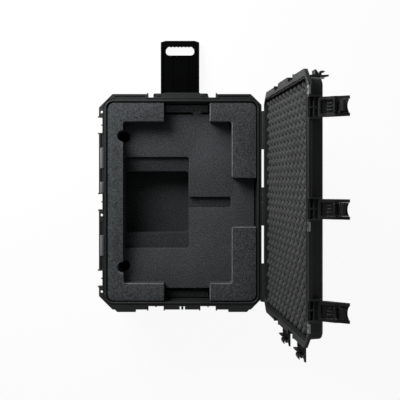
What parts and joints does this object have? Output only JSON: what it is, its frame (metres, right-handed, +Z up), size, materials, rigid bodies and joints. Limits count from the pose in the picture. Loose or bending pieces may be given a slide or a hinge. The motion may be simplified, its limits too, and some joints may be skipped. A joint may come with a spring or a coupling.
{
  "type": "monitor case",
  "caption": "Hard wheeled transport case with a hinged lid on latches, a pull handle and a cut-foam nest for a desktop monitor.",
  "frame": {"origin": "on the floor below the middle of the base's opening, the case lying on its back with the lid open", "axes": "+X towards the hinge, +Y towards the pull-handle end, +Z up out of the open base"},
  "size_m": [0.7732, 1.119, 0.8838],
  "materials": {
    "shell": "textured",
    "latch": "matte",
    "trigger": "matte",
    "handle": "matte",
    "grip": "matte",
    "foam": "matte",
    "seal": "matte",
    "tyre": "matte",
    "wheel": "matte",
    "steel": "satin",
    "plate_steel": "brushed"
  },
  "bodies": {
    "base": {"base_shell": "shell", "hinge_pins": "steel", "foam_pad": "foam", "foam_lower": "foam", "foam_middle": "foam", "foam_top": "foam", "foam_strip_handle_end": "foam", "foam_strip_wheel_end": "foam", "channel_cover": "shell", "cover_screws": "steel", "wheel_axles": "steel", "carry_pins": "steel", "pressure_valve": "shell", "lock_lugs_base": "shell", "runners": "shell", "handle_channel": "shell", "handle_housing": "shell", "wheel_housings": "shell"},
    "lid": {"lid_shell": "shell", "lid_foam": "foam", "lid_seal": "seal", "latch_pins": "steel", "padlock_plates": "plate_steel", "lock_lugs_lid": "shell"},
    "pull_handle": {"pull_handle": "handle"},
    "latch_front_1": {"latch_front_1_lever": "latch", "latch_front_1_trigger_pin": "steel"},
    "trigger_front_1": {"latch_front_1_trigger": "trigger"},
    "latch_front_2": {"latch_front_2_lever": "latch", "latch_front_2_trigger_pin": "steel"},
    "trigger_front_2": {"latch_front_2_trigger": "trigger"},
    "latch_front_3": {"latch_front_3_lever": "latch", "latch_front_3_trigger_pin": "steel"},
    "trigger_front_3": {"latch_front_3_trigger": "trigger"},
    "latch_handle_end_1": {"latch_handle_end_1_lever": "latch", "latch_handle_end_1_trigger_pin": "steel"},
    "trigger_handle_end_1": {"latch_handle_end_1_trigger": "trigger"},
    "latch_wheel_end_1": {"latch_wheel_end_1_lever": "latch", "latch_wheel_end_1_trigger_pin": "steel"},
    "trigger_wheel_end_1": {"latch_wheel_end_1_trigger": "trigger"},
    "latch_handle_end_2": {"latch_handle_end_2_lever": "latch", "latch_handle_end_2_trigger_pin": "steel"},
    "trigger_handle_end_2": {"latch_handle_end_2_trigger": "trigger"},
    "latch_wheel_end_2": {"latch_wheel_end_2_lever": "latch", "latch_wheel_end_2_trigger_pin": "steel"},
    "trigger_wheel_end_2": {"latch_wheel_end_2_trigger": "trigger"},
    "carry_handle_front_1": {"carry_handle_front_1": "handle", "carry_grip_front_1": "grip"},
    "carry_handle_front_2": {"carry_handle_front_2": "handle", "carry_grip_front_2": "grip"},
    "carry_handle_wheel_end": {"carry_handle_wheel_end": "handle", "carry_grip_wheel_end": "grip"},
    "front_wheel": {"front_wheel_hub": "wheel", "front_wheel_tyre": "tyre"},
    "hinge_wheel": {"hinge_wheel_hub": "wheel", "hinge_wheel_tyre": "tyre"}
  },
  "joints": [
    {"name": "lid_hinge", "type": "hinge", "parent": "base", "child": "lid", "pos_m": [0.301, 0, 0.237], "axis": [0, 1, 0], "range_deg": [-95, 0]},
    {"name": "pull_handle_slide", "type": "slide", "parent": "base", "child": "pull_handle", "axis": [0, 1, 0], "range_m": [-0.225, 0]},
    {"name": "latch_front_1_pivot", "type": "hinge", "parent": "lid", "child": "latch_front_1", "pos_m": [0.38665, 0.2838, 0.83732], "axis": [0, 1, 0], "range_deg": [-143, 32]},
    {"name": "trigger_front_1_pivot", "type": "hinge", "parent": "latch_front_1", "child": "trigger_front_1", "pos_m": [0.43896, 0.2838, 0.86116], "axis": [0, 1, 0], "range_deg": [-12, 0], "stiffness_Nm_per_rad": 0.3, "springref_deg": 5.73},
    {"name": "latch_front_2_pivot", "type": "hinge", "parent": "lid", "child": "latch_front_2", "pos_m": [0.38665, 0, 0.83732], "axis": [0, 1, 0], "range_deg": [-143, 32]},
    {"name": "trigger_front_2_pivot", "type": "hinge", "parent": "latch_front_2", "child": "trigger_front_2", "pos_m": [0.43896, 0, 0.86116], "axis": [0, 1, 0], "range_deg": [-12, 0], "stiffness_Nm_per_rad": 0.3, "springref_deg": 5.73},
    {"name": "latch_front_3_pivot", "type": "hinge", "parent": "lid", "child": "latch_front_3", "pos_m": [0.38665, -0.2838, 0.83732], "axis": [0, 1, 0], "range_deg": [-143, 32]},
    {"name": "trigger_front_3_pivot", "type": "hinge", "parent": "latch_front_3", "child": "trigger_front_3", "pos_m": [0.43896, -0.2838, 0.86116], "axis": [0, 1, 0], "range_deg": [-12, 0], "stiffness_Nm_per_rad": 0.3, "springref_deg": 5.73},
    {"name": "latch_handle_end_1_pivot", "type": "hinge", "parent": "lid", "child": "latch_handle_end_1", "pos_m": [0.36853, 0.396, 0.63021], "axis": [-0.0872, 0, -0.9962], "range_deg": [-170, 5]},
    {"name": "trigger_handle_end_1_pivot", "type": "hinge", "parent": "latch_handle_end_1", "child": "trigger_handle_end_1", "pos_m": [0.42574, 0.39851, 0.62521], "axis": [-0.0872, 0, -0.9962], "range_deg": [-12, 0], "stiffness_Nm_per_rad": 0.3, "springref_deg": 5.73},
    {"name": "latch_wheel_end_1_pivot", "type": "hinge", "parent": "lid", "child": "latch_wheel_end_1", "pos_m": [0.36853, -0.396, 0.63021], "axis": [0.0872, 0, 0.9962], "range_deg": [-90, 85]},
    {"name": "trigger_wheel_end_1_pivot", "type": "hinge", "parent": "latch_wheel_end_1", "child": "trigger_wheel_end_1", "pos_m": [0.376, -0.453, 0.62956], "axis": [0.0872, 0, 0.9962], "range_deg": [-12, 0], "stiffness_Nm_per_rad": 0.3, "springref_deg": 5.73},
    {"name": "latch_handle_end_2_pivot", "type": "hinge", "parent": "lid", "child": "latch_handle_end_2", "pos_m": [0.35169, 0.396, 0.43775], "axis": [-0.0872, 0, -0.9962], "range_deg": [-170, 5]},
    {"name": "trigger_handle_end_2_pivot", "type": "hinge", "parent": "latch_handle_end_2", "child": "trigger_handle_end_2", "pos_m": [0.40891, 0.39851, 0.43274], "axis": [-0.0872, 0, -0.9962], "range_deg": [-12, 0], "stiffness_Nm_per_rad": 0.3, "springref_deg": 5.73},
    {"name": "latch_wheel_end_2_pivot", "type": "hinge", "parent": "lid", "child": "latch_wheel_end_2", "pos_m": [0.35169, -0.396, 0.43775], "axis": [0.0872, 0, 0.9962], "range_deg": [-90, 85]},
    {"name": "trigger_wheel_end_2_pivot", "type": "hinge", "parent": "latch_wheel_end_2", "child": "trigger_wheel_end_2", "pos_m": [0.35916, -0.453, 0.43709], "axis": [0.0872, 0, 0.9962], "range_deg": [-12, 0], "stiffness_Nm_per_rad": 0.3, "springref_deg": 5.73},
    {"name": "carry_handle_front_1_pivot", "type": "hinge", "parent": "base", "child": "carry_handle_front_1", "pos_m": [-0.2945, 0.162, 0.203], "axis": [0, 1, 0], "range_deg": [0, 85]},
    {"name": "carry_handle_front_2_pivot", "type": "hinge", "parent": "base", "child": "carry_handle_front_2", "pos_m": [-0.2945, -0.162, 0.203], "axis": [0, 1, 0], "range_deg": [0, 85]},
    {"name": "carry_handle_wheel_end_pivot", "type": "hinge", "parent": "base", "child": "carry_handle_wheel_end", "pos_m": [0, -0.386, 0.203], "axis": [-1, 0, 0], "range_deg": [0, 85]},
    {"name": "front_wheel_spin", "type": "hinge", "parent": "base", "child": "front_wheel", "pos_m": [-0.206, -0.402, 0.03], "axis": [1, 0, 0], "continuous": true},
    {"name": "hinge_wheel_spin", "type": "hinge", "parent": "base", "child": "hinge_wheel", "pos_m": [0.206, -0.402, 0.03], "axis": [1, 0, 0], "continuous": true}
  ]
}
